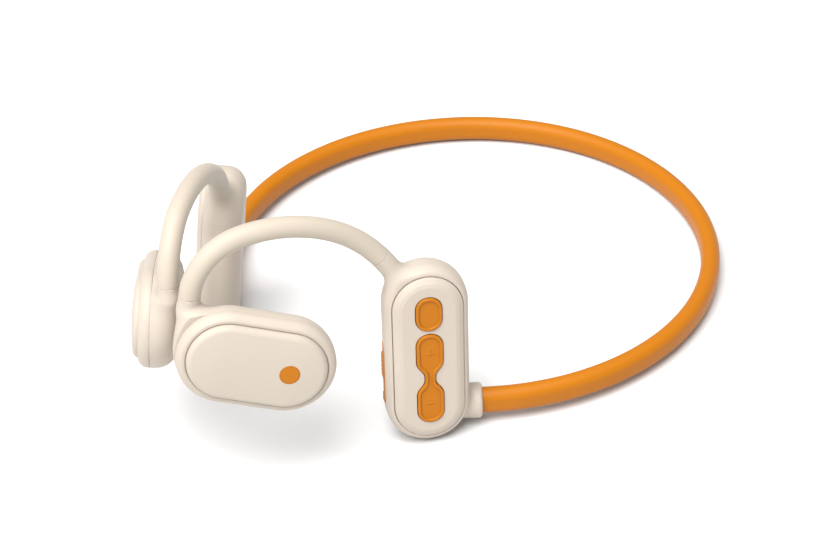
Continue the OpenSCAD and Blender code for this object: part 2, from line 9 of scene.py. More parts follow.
import bpy
import numpy as np
from mathutils import Matrix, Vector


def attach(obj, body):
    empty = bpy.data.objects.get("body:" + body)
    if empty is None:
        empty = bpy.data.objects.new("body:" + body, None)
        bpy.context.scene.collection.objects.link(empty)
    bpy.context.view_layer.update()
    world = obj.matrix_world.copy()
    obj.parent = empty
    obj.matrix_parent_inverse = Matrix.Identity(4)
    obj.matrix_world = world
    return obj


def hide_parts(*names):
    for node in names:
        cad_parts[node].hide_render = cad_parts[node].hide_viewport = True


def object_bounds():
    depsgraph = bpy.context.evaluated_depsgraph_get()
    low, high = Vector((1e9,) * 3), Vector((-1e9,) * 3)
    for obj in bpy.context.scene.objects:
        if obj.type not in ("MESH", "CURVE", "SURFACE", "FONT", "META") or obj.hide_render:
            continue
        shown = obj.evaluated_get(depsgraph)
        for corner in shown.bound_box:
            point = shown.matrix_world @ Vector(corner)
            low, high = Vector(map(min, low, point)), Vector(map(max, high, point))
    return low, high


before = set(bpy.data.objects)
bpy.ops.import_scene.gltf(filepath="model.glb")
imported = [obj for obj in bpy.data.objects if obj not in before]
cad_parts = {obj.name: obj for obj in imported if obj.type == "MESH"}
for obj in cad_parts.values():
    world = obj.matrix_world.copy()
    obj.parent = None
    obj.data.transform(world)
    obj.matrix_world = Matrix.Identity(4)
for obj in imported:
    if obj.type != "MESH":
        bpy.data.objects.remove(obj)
cad_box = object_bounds()

MM = 0.001


# ---- Places ----

def turned(axis, degrees):
    """Rotation matrix about one axis."""
    return np.array(Matrix.Rotation(math.radians(degrees), 3, axis))


TABLE_TURN = turned("Y", -1.224)
TABLE_SHIFT = np.array([-20.28, 0.0, 4.217])


class Place:
    """A part's own frame, given in the frame of the band's circle."""

    def __init__(self, turn, origin):
        self.turn = turn
        self.origin = np.array(origin, float)

    def to_band(self, points):
        return points @ self.turn.T + self.origin

    def from_band(self, points):
        return (points - self.origin) @ self.turn

    def to_row(self, points, side, vectors=False):
        """Points, or directions, on the table in the row frame. Side -1 is the wearer's right."""
        band = points @ self.turn.T if vectors else self.to_band(points)
        band = band * np.array([1.0, side, 1.0])
        band = band @ TABLE_TURN.T
        return band if vectors else (band + TABLE_SHIFT) * MM


BAND = Place(np.eye(3), [0, 0, 0])
HOUSING = Place(turned("Z", -38.7) @ turned("X", 6.2) @ turned("Y", -1.4), [51.1, 29.5, 15.7])
POD = Place(turned("Z", -41.3) @ turned("X", 5.5) @ turned("Y", -17.2), [87.3, 15.0, 26.5])
HOOK = Place(turned("Z", 151.6) @ turned("Y", 3.4), [93.2, 3.0, 39.6])
SIDES = {"left": 1, "right": -1}


# ---- Distance fields ----

def norm(*parts):
    return np.sqrt(sum(p * p for p in parts))


def rounded(a, b, r):
    """What lies inside both a and b, with the edge between them rounded."""
    u, v = a + r, b + r
    return np.minimum(np.maximum(u, v), 0) + norm(np.maximum(u, 0), np.maximum(v, 0)) - r


def joined(a, b, k):
    """What lies inside a or b, with a soft fillet of reach k."""
    h = np.maximum(k - np.abs(a - b), 0) / np.maximum(k, 1e-6)
    return np.minimum(a, b) - h * h * k / 4


def oblong(u, v, length, width):
    """Distance outside an outline with round ends, long in v."""
    return norm(u, np.maximum(np.abs(v) - (length - width) / 2, 0)) - width / 2


def round_box(u, v, w, h, r):
    """Distance outside a rectangle with round corners."""
    du, dv = np.abs(u) - w / 2 + r, np.abs(v) - h / 2 + r
    return np.minimum(np.maximum(du, dv), 0) + norm(np.maximum(du, 0), np.maximum(dv, 0)) - r


def block(x, y, z, centre, size, r):
    """Distance outside a box with round edges."""
    d = [np.abs(p - c) - s / 2 + r for p, c, s in zip((x, y, z), centre, size)]
    outside = norm(*[np.maximum(q, 0) for q in d])
    return np.minimum(np.maximum(np.maximum(d[0], d[1]), d[2]), 0) + outside - r


def capsule(points, a, b, r_a, r_b):
    """Distance outside a rod that changes from one radius to another."""
    a, b = np.array(a, float), np.array(b, float)
    t = np.clip((points - a) @ (b - a) / ((b - a) @ (b - a)), 0, 1)
    return np.linalg.norm(points - a - t[:, None] * (b - a), axis=1) - (r_a + (r_b - r_a) * t)


CORNERS = [(i, j, k) for i in (0, 1) for j in (0, 1) for k in (0, 1)]


def gradient(field, points, step=0.02):
    slope = np.empty_like(points)
    for axis in range(3):
        shift = np.zeros(3)
        shift[axis] = step
        slope[:, axis] = (field(points + shift) - field(points - shift)) / (2 * step)
    return slope


def surface(field, low, high, cell):
    """Closed quad mesh of the surface where a field is zero, with its normals."""
    low = np.array(low, float)
    count = np.ceil((np.array(high, float) - low) / cell).astype(int) + 1
    grid = np.stack(np.meshgrid(*[np.arange(n) for n in count], indexing="ij"), -1)
    values = field(low + grid.reshape(-1, 3) * cell).reshape(count)
    corner = {c: values[c[0]:count[0] - 1 + c[0], c[1]:count[1] - 1 + c[1], c[2]:count[2] - 1 + c[2]]
              for c in CORNERS}
    total = np.zeros(tuple(count - 1) + (3,))
    hits = np.zeros(tuple(count - 1))
    for a in CORNERS:
        for axis in range(3):
            if a[axis]:
                continue
            b = tuple(v + (n == axis) for n, v in enumerate(a))
            va, vb = corner[a], corner[b]
            crossed = (va < 0) != (vb < 0)
            t = np.where(crossed, va / np.where(crossed, va - vb, 1), 0)
            for n in range(3):
                total[..., n] += crossed * (a[n] + (t if n == axis else 0))
            hits += crossed
    active = hits > 0
    index = np.full(active.shape, -1)
    index[active] = np.arange(active.sum())
    where = np.argwhere(active)
    points = low + (where + total[active] / hits[active][:, None]) * cell
    quads = []
    inside = values < 0
    for axis in range(3):
        u, v = (axis + 1) % 3, (axis + 2) % 3
        first = [slice(1, -1)] * 3
        first[axis] = slice(0, -1)
        second = list(first)
        second[axis] = slice(1, None)
        change = inside[tuple(first)].astype(int) - inside[tuple(second)].astype(int)
        base = np.argwhere(change != 0)
        base[:, u] += 1
        base[:, v] += 1
        steps = [(0, 0), (-1, 0), (-1, -1), (0, -1)]
        ring = []
        for du, dv in steps:
            cell_at = base.copy()
            cell_at[:, u] += du
            cell_at[:, v] += dv
            ring.append(index[cell_at[:, 0], cell_at[:, 1], cell_at[:, 2]])
        quad = np.stack(ring, 1)
        flip = change[change != 0] < 0
        quad[flip] = quad[flip][:, ::-1]
        quads.append(quad)
    quads = np.concatenate(quads)
    for _ in range(4):
        slope = gradient(field, points)
        size = np.maximum((slope * slope).sum(1), 1e-3)
        move = slope * (field(points) / size)[:, None]
        far = np.maximum(np.linalg.norm(move, axis=1) / (cell * 0.5), 1)
        points = points - move / far[:, None]
    slope = gradient(field, points)
    normals = slope / np.maximum(np.linalg.norm(slope, axis=1), 1e-9)[:, None]
    return points, quads, normals


# ---- Meshes ----

def edge_values(points, faces, normals):
    """How sharply the surface bends at each point, per millimetre: edges are above zero, grooves below."""
    pairs = np.concatenate([np.stack([faces[:, i], faces[:, (i + 1) % faces.shape[1]]], 1)
                            for i in range(faces.shape[1])])
    step = points[pairs[:, 1]] - points[pairs[:, 0]]
    turn = normals[pairs[:, 1]] - normals[pairs[:, 0]]
    bend = (step * turn).sum(1) / np.maximum((step * step).sum(1), 1e-6)
    total = np.bincount(pairs[:, 0], bend, len(points)) + np.bincount(pairs[:, 1], bend, len(points))
    uses = np.bincount(pairs[:, 0], minlength=len(points)) + np.bincount(pairs[:, 1], minlength=len(points))
    value = total / np.maximum(uses, 1)
    for _ in range(2):
        near = (np.bincount(pairs[:, 0], value[pairs[:, 1]], len(points))
                + np.bincount(pairs[:, 1], value[pairs[:, 0]], len(points))) / np.maximum(uses, 1)
        value = (value + near) / 2
    return value


def piece(name, place, side, shape, material, slot, body, *nodes):
    """Puts a mesh on the table as a piece of the object that stands for CAD nodes."""
    points, faces, normals = shape
    faces = np.asarray(faces)
    located = place.to_row(points, side)
    if side < 0:
        faces = faces[:, ::-1]
    mesh = bpy.data.meshes.new(name)
    mesh.from_pydata(located.tolist(), [], [[v for n, v in enumerate(f) if v not in f[:n]]
                                            for f in faces.tolist()])
    mesh.update()
    mesh.shade_smooth()
    if normals is None:
        flat = np.zeros(len(points) * 3, np.float32)
        mesh.vertex_normals.foreach_get("vector", flat)
        turned_normals = flat.reshape(-1, 3).astype(float)
    else:
        turned_normals = place.to_row(normals, side, vectors=True)
        mesh.normals_split_custom_set_from_vertices(turned_normals.tolist())
    bends = mesh.attributes.new("edge", "FLOAT", "POINT")
    values = edge_values(located / MM, faces, turned_normals)
    bends.data.foreach_set("value", np.clip(values / 4, -1, 1).astype(np.float32))
    mesh.materials.append(material)
    obj = bpy.data.objects.new(name, mesh)
    bpy.context.scene.collection.objects.link(obj)
    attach(obj, body)
    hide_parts(*nodes)
    return obj


def arc(centre, r, start, end, steps):
    """Points of an arc in a half profile, angles in degrees from outward towards y."""
    turns = np.radians(np.linspace(start, end, steps))
    return [(centre[0] + r * math.cos(t), centre[1] + r * math.sin(t)) for t in turns]


def resampled(profile, spacing):
    """The profile with long straight runs cut into shorter ones."""
    out = [profile[0]]
    for a, b in zip(profile, profile[1:]):
        count = max(1, int(math.ceil(math.dist(a, b) / spacing)))
        out += [(a[0] + (b[0] - a[0]) * n / count, a[1] + (b[1] - a[1]) * n / count)
                for n in range(1, count + 1)]
    return out


def ring_sweep(profile, length, width, closed=False, end_steps=72, straight_steps=36, crown=None):
    """Runs a half profile, distance from the spine by depth, round an outline long in x.

    The profile goes from outside to the spine. An open profile ends on the spine line."""
    half = (length - width) / 2
    base = []
    for n in range(end_steps):
        t = math.pi * n / end_steps - math.pi / 2
        base.append((half, math.cos(t), math.sin(t)))
    for n in range(straight_steps):
        base.append((half - 2 * half * n / straight_steps, 0.0, 1.0))
    for n in range(end_steps):
        t = math.pi * n / end_steps + math.pi / 2
        base.append((-half, math.cos(t), math.sin(t)))
    for n in range(straight_steps):
        base.append((-half + 2 * half * n / straight_steps, 0.0, -1.0))
    base = np.array(base)
    rho = np.array([p[0] for p in profile])
    depth = np.array([p[1] for p in profile])
    x = base[None, :, 0] + rho[:, None] * base[None, :, 1]
    z = rho[:, None] * base[None, :, 2]
    y = np.repeat(depth[:, None], len(base), 1)
    if crown is not None:
        y = y + crown(x, z)
    points = np.stack([x, y, z], -1).reshape(-1, 3)
    rows, around = len(profile), len(base)
    i = np.arange(rows if closed else rows - 1)[:, None]
    j = np.arange(around)[None, :]
    nxt = (j + 1) % around
    below = (i + 1) % rows
    faces = np.stack([i * around + j, i * around + nxt, below * around + nxt, below * around + j], -1)
    return weld(points, faces.reshape(-1, 4))


def weld(points, faces):
    """Joins points that coincide and drops faces that fold to nothing."""
    keys = np.round(points, 5)
    _, first, back = np.unique(keys, axis=0, return_index=True, return_inverse=True)
    back = back.reshape(-1)
    faces = back[faces]
    distinct = np.array([len(set(f)) for f in faces.tolist()])
    return points[first], faces[distinct > 2], None


def tube(stations, frames_u, frames_v, section, caps=True):
    """Sweeps a closed section, (u, v) pairs per station or one for all, along stations."""
    rows = []
    for n, (at, u, v) in enumerate(zip(stations, frames_u, frames_v)):
        ring = section[n] if len(np.shape(section)) == 3 else section
        rows.append(at + ring[:, :1] * u + ring[:, 1:] * v)
    around = len(rows[0])
    points = np.concatenate(rows)
    i = np.arange(len(rows) - 1)[:, None]
    j = np.arange(around)[None, :]
    nxt = (j + 1) % around
    faces = np.stack([i * around + j, i * around + nxt, (i + 1) * around + nxt, (i + 1) * around + j], -1)
    faces = faces.reshape(-1, 4)
    if caps:
        ends = []
        for row, turn in ((0, -1), (len(rows) - 1, 1)):
            points = np.concatenate([points, rows[row].mean(0)[None]])
            middle = len(points) - 1
            for k in range(around):
                a, b = row * around + k, row * around + (k + 1) % around
                ends.append([a, b, middle, middle] if turn > 0 else [b, a, middle, middle])
        faces = np.concatenate([faces, np.array(ends)])
    return points, faces, None


# ---- Materials ----

def linear(red, green, blue):
    """Scene colour of a display colour in 0 to 255."""
    return tuple((c / 255 / 12.92) if c <= 10 else ((c / 255 + 0.055) / 1.055) ** 2.4
                 for c in (red, green, blue))


def scaled(colour, factor):
    return tuple(min(c * factor, 1.0) for c in colour) + (1.0,)


class Nodes:
    """Short ways to add and link shader nodes."""

    def __init__(self, material):
        material.use_nodes = True
        self.tree = material.node_tree
        self.tree.nodes.clear()

    def add(self, kind, inputs=None, **settings):
        node = self.tree.nodes.new(kind)
        for key, value in settings.items():
            setattr(node, key, value)
        for key, value in (inputs or {}).items():
            if isinstance(value, bpy.types.NodeSocket):
                self.tree.links.new(value, node.inputs[key])
            else:
                node.inputs[key].default_value = value
        return node

    def noise(self, scale, detail=3.0, roughness=0.5, stretch=(1, 1, 1)):
        at = self.add("ShaderNodeTexCoord").outputs["Object"]
        at = self.add("ShaderNodeMapping", {"Vector": at, "Scale": stretch}).outputs[0]
        return self.add("ShaderNodeTexNoise", {"Vector": at, "Scale": scale, "Detail": detail,
                                               "Roughness": roughness}).outputs["Fac"]

    def ramp(self, value, low, high, out_low=0.0, out_high=1.0):
        return self.add("ShaderNodeMapRange", {"Value": value, "From Min": low, "From Max": high,
                                               "To Min": out_low, "To Max": out_high}).outputs[0]

    def times(self, a, b, operation="MULTIPLY"):
        return self.add("ShaderNodeMath", {0: a, 1: b}, operation=operation).outputs[0]

    def blend(self, factor, a, b):
        node = self.add("ShaderNodeMix", data_type="RGBA")
        for socket, value in ((node.inputs[0], factor), (node.inputs[6], a), (node.inputs[7], b)):
            if isinstance(value, bpy.types.NodeSocket):
                self.tree.links.new(value, socket)
            else:
                socket.default_value = value
        return node.outputs[2]


def finish(name, colour, rough, mottle=0.03, mottle_scale=55, grain=2600, grain_depth=0.012,
           swirl=0.0, worn=1.06, groove_dust_and_shade=0.86, stretch=(1, 1, 1), **sockets):
    """A moulded, cast or rolled surface: slow colour drift, fine grain, worn edges, and grooves darkened
    with dust and painted shade.
    """
    material = bpy.data.materials.new(name)
    nodes = Nodes(material)
    drift = nodes.noise(mottle_scale, 4.0, 0.55, stretch)
    speck = nodes.noise(grain, 2.0, 0.6, stretch)
    patchy = nodes.noise(420, 3.0, 0.65)
    base = nodes.blend(nodes.ramp(drift, 0.3, 0.7), scaled(colour, 1 - mottle), scaled(colour, 1 + mottle))
    base = nodes.blend(nodes.ramp(speck, 0.42, 0.75, 0.0, 0.10), base, scaled(colour, 0.9))
    edge = nodes.add("ShaderNodeAttribute", attribute_name="edge").outputs["Fac"]
    wear = nodes.times(nodes.ramp(edge, 0.10, 0.55), nodes.ramp(patchy, 0.32, 0.62, 0.25, 1.0))
    # Concave grooves are darkened: partly dust, partly painted shade standing in for the shadow that falls
    # in crevices.
    groove_dust_and_shade_mask = nodes.times(nodes.ramp(edge, -0.06, -0.45), nodes.ramp(patchy, 0.3, 0.7, 0.6, 1.0))
    base = nodes.blend(wear, base, scaled(colour, worn))
    base = nodes.blend(groove_dust_and_shade_mask, base, scaled(colour, groove_dust_and_shade))
    roughness = nodes.ramp(drift, 0.3, 0.7, rough - 0.03, rough + 0.03)
    roughness = nodes.times(roughness, nodes.ramp(speck, 0.3, 0.7, -0.02, 0.03), "ADD")
    roughness = nodes.times(roughness, nodes.times(wear, -0.08), "ADD")
    height = nodes.times(speck, grain_depth)
    if swirl:
        height = nodes.times(height, nodes.times(patchy, swirl), "ADD")
    bump = nodes.add("ShaderNodeBump", {"Height": height, "Strength": 0.6, "Distance": MM})
    shader = nodes.add("ShaderNodeBsdfPrincipled", {
        "Base Color": base, "Roughness": roughness, "Normal": bump.outputs[0]})
    for key, value in sockets.items():
        shader.inputs[key.replace("_", " ")].default_value = value
    nodes.add("ShaderNodeOutputMaterial", {"Surface": shader.outputs[0]})
    return material


CREAM = linear(182, 171, 158)
CREAM_SOFT = linear(181, 170, 155)
ORANGE = linear(174, 103, 6)
ORANGE_KEY = linear(174, 103, 8)

MATERIALS = {
    "cream_plastic": finish("cream_moulded_plastic", CREAM, 0.5, mottle=0.012, grain_depth=0.010,
                            worn=1.04, groove_dust_and_shade=0.93, IOR=1.46, Specular_IOR_Level=0.38,
                            Sheen_Weight=0.05),
    "cream_silicone": finish("cream_soft_silicone", CREAM_SOFT, 0.5, mottle=0.014, grain=3200,
                             grain_depth=0.012, worn=1.04, groove_dust_and_shade=0.93, IOR=1.41,
                             Specular_IOR_Level=0.4, Sheen_Weight=0.08, Sheen_Roughness=0.5),
    "orange_silicone": finish("orange_band_silicone", ORANGE, 0.46, mottle=0.02, grain=3000,
                              grain_depth=0.014, worn=1.04, groove_dust_and_shade=0.85, IOR=1.41,
                              Specular_IOR_Level=0.28, Sheen_Weight=0.02, Sheen_Roughness=0.5),
    "orange_key": finish("orange_key_rubber", ORANGE_KEY, 0.5, mottle=0.015, grain=3600,
                         grain_depth=0.012, worn=0.96, groove_dust_and_shade=0.82, IOR=1.41,
                         Specular_IOR_Level=0.28),
    "orange_inlay": finish("orange_inlay_paint", ORANGE_KEY, 0.45, mottle=0.01, IOR=1.45,
                           Specular_IOR_Level=0.25),
    "spring_steel": finish("spring_steel_wire", (0.5, 0.5, 0.5), 0.3, stretch=(1, 1, 20),
                           Metallic=1.0),
    "steel": finish("stamped_steel", (0.56, 0.56, 0.57), 0.34, mottle=0.05, Metallic=1.0),
    "magnet_nickel": finish("nickel_plating", (0.66, 0.64, 0.6), 0.2, mottle=0.03, Metallic=1.0),
    "copper": finish("enamelled_copper", (0.72, 0.33, 0.16), 0.32, stretch=(1, 1, 12), Metallic=1.0),
    "cable_jacket": finish("black_cable_jacket", (0.03, 0.03, 0.032), 0.5, mottle=0.1),
    "grey_rubber": finish("grey_gasket_rubber", (0.11, 0.11, 0.115), 0.62, mottle=0.08, swirl=0.02),
    "circuit_board": finish("green_circuit_board", (0.02, 0.11, 0.05), 0.35, mottle=0.2,
                            mottle_scale=700, swirl=0.03, Coat_Weight=0.3),
    "battery_foil": finish("battery_pouch_foil", (0.55, 0.57, 0.6), 0.36, mottle=0.05, swirl=0.12,
                           Metallic=0.85),
    "black_plastic": finish("black_moulded_plastic", (0.035, 0.035, 0.038), 0.46, mottle=0.08),
}


# ---- Neckband ----

BAND_RADIUS = 57
BAND_THICKNESS = 4.36
BAND_HEIGHT = 6.0
BAND_START = 42
COLLAR_DEPTH = 4
COLLAR_D = 7.8
COLLAR_ROOT = 34


def stadium_section(width, height, steps):
    """Outline, upright, of a section with round top and bottom."""
    r, half = width / 2, (height - width) / 2
    top = [(r * math.cos(t), half + r * math.sin(t)) for t in np.linspace(0, math.pi, steps)]
    low = [(-u, -v) for u, v in top]
    return np.array(resampled(top + low + [top[0]], 0.4)[:-1])


def build_neckband():
    turns = np.radians(np.linspace(BAND_START - COLLAR_DEPTH, 360 - BAND_START + COLLAR_DEPTH, 420))
    outward = np.stack([np.cos(turns), np.sin(turns), np.zeros_like(turns)], 1)
    up = np.tile([0.0, 0.0, 1.0], (len(turns), 1))
    section = stadium_section(BAND_THICKNESS, BAND_HEIGHT, 17)
    shape = tube(outward * BAND_RADIUS, outward, up, section)
    piece("neckband", BAND, 1, shape, MATERIALS["orange_silicone"], "orange_silicone", "root",
          "neckband_sleeve")


# ---- Ear hooks ----

HOOK_R = 2.29
FRONT_RADIUS = 13.4
FRONT_TURN = 79
TOP_RADIUS = 31.8
SLEEVE_START = 5
SLEEVE_TURN = 139
ROOT_TURN = 157
SWING_START = 117
SWING = 0.85
SEAM_R = 0.11


def inward(turn):
    return np.array([math.cos(math.radians(turn)), 0.0, -math.sin(math.radians(turn))])


def along(turn):
    return np.array([math.sin(math.radians(turn)), 0.0, math.cos(math.radians(turn))])


FRONT_CENTRE = FRONT_RADIUS * inward(0)
TOP_CENTRE = FRONT_CENTRE + (TOP_RADIUS - FRONT_RADIUS) * inward(FRONT_TURN)


def swing(turn):
    """How far the last stretch of the hook has swung towards the housing at an angle."""
    return SWING * (np.maximum(turn - SWING_START, 0) / (SLEEVE_TURN - SWING_START)) ** 2


def hook_point(turn):
    if turn <= FRONT_TURN:
        return FRONT_CENTRE - FRONT_RADIUS * inward(turn)
    return TOP_CENTRE - TOP_RADIUS * inward(turn) - np.array([0.0, swing(turn), 0.0])


def build_hook(name, side):
    turns = np.concatenate([np.linspace(SLEEVE_START, FRONT_TURN, 42)[:-1],
                            np.linspace(FRONT_TURN, SLEEVE_TURN, 76)])
    stations = [(hook_point(t), t, HOOK_R) for t in turns]
    for end, direction in ((0, 1), (-1, -1)):
        at, turn, _ = stations[end]
        lip = [(at + along(turn) * direction * SEAM_R * (1 - math.cos(a)), turn,
                HOOK_R - SEAM_R * (1 - math.sin(a))) for a in np.radians([0, 22, 45, 68, 90])]
        stations = lip + stations[1:] if end == 0 else stations[:-1] + lip[::-1]
    circle = np.array([(math.cos(t), math.sin(t)) for t in np.linspace(0, 2 * math.pi, 49)[:-1]])
    shape = tube([s[0] for s in stations], [inward(s[1]) for s in stations],
                 [np.array([0.0, 1.0, 0.0])] * len(stations), [circle * s[2] for s in stations])
    piece(f"{name}_ear_hook", HOOK, side, shape, MATERIALS["cream_silicone"], "cream_silicone",
          "root", f"{name}_hook_sleeve")


# ---- Housings ----

HOUSING_WIDTH = 18.3
HOUSING_HEIGHT = 42.39
INNER_DEPTH = 3.9
INNER_R = 4.4
OUTER_R = 3.6
SHOULDER_TOP = 5.9
RIM = 4.9
LEDGE = 3.6
COVER_WIDTH = 15.2
COVER_HEIGHT = 38.5
COVER_LOW = 4.0
COVER_FACE = 6.2
SEAM_GAP = 0.1
CAVITY_WIDTH = 14.4
WALL = 1.2
PORT_Z = -5.2
PORT_Y = -0.1
FLAP_LENGTH = 15.2
FLAP_WIDTH = 4.2
GRIP_Z = PORT_Z + 1.5
PORT_FLOOR = 8.0
ROOT_FILLET = 2.8
COLLAR_FILLET = 1.5
COLLAR_EDGE = 1.2
COLLAR_END_R = 0.8
BAND_CLEARANCE = 0.1
BORE_LIP = 0.15
RIM_EDGE = 0.3
RECESS_LIP = 0.12
PORT_GAP = 0.15
PORT_LIP = 0.15
SOCKET = (9.14, 3.46)
MIC_HOLE = (1.5, 0.6)
MIC_HOLE_R = 0.5
MIC_HOLE_DEPTH = 4
MIC_HOLE_LIP = 0.1


def housing_skin(x, y, z):
    side = oblong(x, z, HOUSING_HEIGHT, HOUSING_WIDTH)
    return np.maximum(rounded(side, -(y + INNER_DEPTH), INNER_R),
                      rounded(side, y - SHOULDER_TOP, OUTER_R))


def hook_root(points):
    """The last stretch of the hook, moulded in one with the housing."""
    x, y, z = points.T
    turn = np.degrees(np.arctan2(z - TOP_CENTRE[2], TOP_CENTRE[0] - x))
    sway = 2 * swing(turn) / (np.radians(np.maximum(turn - SWING_START, 1)) * TOP_RADIUS)
    rod = norm(norm(x - TOP_CENTRE[0], z - TOP_CENTRE[2]) - TOP_RADIUS,
               (y + swing(turn)) / norm(1, sway)) - HOOK_R
    start = (points - hook_point(SLEEVE_TURN)) @ along(SLEEVE_TURN)
    end = (points - hook_point(ROOT_TURN)) @ along(ROOT_TURN)
    return np.maximum(rounded(rod, -start, SEAM_R), end)


def past(points, degrees):
    """How far points lie past an angle round the band."""
    t = math.radians(degrees)
    return points[:, 1] * math.cos(t) - points[:, 0] * math.sin(t)


def collar(points):
    ring = norm(norm(points[:, 0], points[:, 1]) - BAND_RADIUS, points[:, 2]) - COLLAR_D / 2
    return np.maximum(rounded(ring, past(points, BAND_START), COLLAR_END_R),
                      -past(points, COLLAR_ROOT))


def collar_bore(points):
    section = oblong(norm(points[:, 0], points[:, 1]) - BAND_RADIUS, points[:, 2],
                     BAND_HEIGHT + BAND_CLEARANCE, BAND_THICKNESS + BAND_CLEARANCE)
    return np.maximum(section, -past(points, BAND_START - COLLAR_DEPTH))


def housing_field(with_port):
    def field(points):
        x, y, z = points.T
        band = HOUSING.to_band(points)
        body = joined(housing_skin(x, y, z), hook_root(HOOK.from_band(band)), ROOT_FILLET)
        arm = rounded(collar(band), -(y + INNER_DEPTH), COLLAR_EDGE)
        body = joined(body, arm, COLLAR_FILLET)
        body = rounded(body, y - RIM, RIM_EDGE)
        recess = np.maximum(oblong(x, z, COVER_HEIGHT + 2 * SEAM_GAP, COVER_WIDTH + 2 * SEAM_GAP),
                            LEDGE - y)
        body = rounded(body, -recess, RECESS_LIP)
        cavity = rounded(oblong(x, z, HOUSING_HEIGHT - HOUSING_WIDTH + CAVITY_WIDTH, CAVITY_WIDTH),
                         -(y + INNER_DEPTH - WALL), INNER_R - WALL)
        body = np.maximum(body, -np.maximum(cavity, y - RIM))
        body = rounded(body, -collar_bore(band), BORE_LIP)
        if with_port:
            opening = np.maximum(oblong(y - PORT_Y, z - PORT_Z, FLAP_LENGTH + 2 * PORT_GAP,
                                        FLAP_WIDTH + 2 * PORT_GAP), PORT_FLOOR - x)
            body = rounded(body, -opening, PORT_LIP)
            socket = np.maximum(oblong(y - PORT_Y, z - PORT_Z, *SOCKET), -x)
            body = np.maximum(body, -socket)
            hole = np.maximum(norm(x - MIC_HOLE[0], y - MIC_HOLE[1]) - MIC_HOLE_R,
                              z + HOUSING_HEIGHT / 2 - MIC_HOLE_DEPTH)
            body = rounded(body, -hole, MIC_HOLE_LIP)
        return body
    return field


# ---- Covers and keys ----

COVER_STEP = 0.35
COVER_SLOPE = 0.66
COVER_BEND = 0.35
COVER_EDGE = 0.14
LINE_AT = 1.5
LINE_WIDTH = 0.25
LINE_DEPTH = 0.05

KEY_FACE = 6.55
KEY_FOOT = 3.05
KEY_GAP = 0.025
KEY_DRAFT = 0.036
PIN_Y = 3.2
PIN_R = 0.55
PIN_LENGTH = 5.2
BUTTON = (5.6, 7.8, 11.1)
LOBE = (5.7, 9.2)
ROCKER_Z = -4.5
LOBE_OFFSET = 6.1
NECK_WIDTH = 2.2
KEY_CORNER = 2.7
DISH_DEPTH = 0.3
DISH_INSET = 0.66
KEY_LIP = 0.1
KEY_EDGE = 0.22
DISH_EDGE = 0.2
DISH_LIP = 0.1
FLANGE = 0.5
FLANGE_EDGE = 0.1
SIGN_LENGTH = 1.7
SIGN_HEIGHT = 0.24
SIGN_WIDTH = 0.36
SIGN_EDGE = 0.1


def button_outline(x, z):
    return round_box(x, z - BUTTON[2], BUTTON[0], BUTTON[1], KEY_CORNER)


def rocker_outline(x, z):
    z = z - ROCKER_Z
    lobes = round_box(x, np.abs(z) - LOBE_OFFSET, LOBE[0], LOBE[1], KEY_CORNER)
    neck = round_box(x, z, NECK_WIDTH, 2 * LOBE_OFFSET, 0.3)
    return joined(lobes, neck, 1.3)


def cover_face(inset):
    """Height of the cover's face by distance from its edge: a sloped border, then the flat."""
    face = joined(RIM + COVER_STEP + COVER_SLOPE * inset, COVER_FACE, COVER_BEND)
    return face - LINE_DEPTH * np.exp(-((inset - LINE_AT) / LINE_WIDTH) ** 2)


def cover_field(with_keys):
    """The key openings widen towards the face, so that the rocker has room to tilt in its own."""
    def field(points):
        x, y, z = points.T
        edge = oblong(x, z, COVER_HEIGHT, COVER_WIDTH)
        body = rounded(edge, y - cover_face(-edge), COVER_EDGE)
        body = np.maximum(body, COVER_LOW - y)
        if with_keys:
            gap = KEY_GAP + KEY_DRAFT * (y - PIN_Y)
            for outline in (button_outline(x, z), rocker_outline(x, z)):
                body = rounded(body, gap - outline, KEY_LIP)
        return body
    return field


def key_body(x, y, z, outline):
    body = rounded(outline, y - KEY_FACE, KEY_EDGE)
    dish = rounded(outline + DISH_INSET, KEY_FACE - DISH_DEPTH - y, DISH_EDGE)
    return np.maximum(rounded(body, -dish, DISH_LIP), KEY_FOOT - y)


def button_field(points):
    x, y, z = points.T
    body = key_body(x, y, z, button_outline(x, z))
    flange = block(x, y, z, (0, KEY_FOOT + FLANGE / 2, BUTTON[2]),
                   (BUTTON[0] + 1.6, FLANGE, BUTTON[1] - 2), FLANGE_EDGE)
    return np.minimum(body, flange)


def rocker_field(points):
    x, y, z = points.T
    body = key_body(x, y, z, rocker_outline(x, z))
    floor = KEY_FACE - DISH_DEPTH
    upper, lower = ROCKER_Z + LOBE_OFFSET, ROCKER_Z - LOBE_OFFSET
    level = (SIGN_LENGTH, SIGN_HEIGHT, SIGN_WIDTH)
    upright = (SIGN_WIDTH, SIGN_HEIGHT, SIGN_LENGTH)
    for at, size in ((upper, level), (upper, upright), (lower, level)):
        body = joined(body, block(x, y, z, (0, floor, at), size, SIGN_EDGE), 0.08)
    for at in (upper, lower):
        body = np.minimum(body, block(x, y, z, (0, KEY_FOOT + FLANGE / 2, at),
                                      (LOBE[0] + 1.2, FLANGE, LOBE[1] - 3), FLANGE_EDGE))
    pin = np.maximum(norm(y - PIN_Y, z - ROCKER_Z) - PIN_R, np.abs(x) - PIN_LENGTH / 2)
    return np.minimum(body, pin)


FLAP_PIVOT = (8.75, PORT_Z - FLAP_LENGTH / 2 + 0.6)
FLAP_PROUD = 0.05
FLAP_EDGE = 0.25
STRAP = 1.1
STRAP_SIZE = (0.8, 2.2, 1.6)
BARREL_R = 0.45
GRIP_X = 8.97
GRIP_SIZE = (0.6, 3.0, 5.9)
GRIP_EDGE = 0.3
GROOVE_PITCH = 1.05
GROOVE_DEPTH = 0.04
GROOVES_FROM = 9.1
GROOVES_REACH = 2.4
PLUG = (7.8, 2.4)
PLUG_HOLLOW = (6.6, 1.2)
PLUG_DEPTH = 0.9


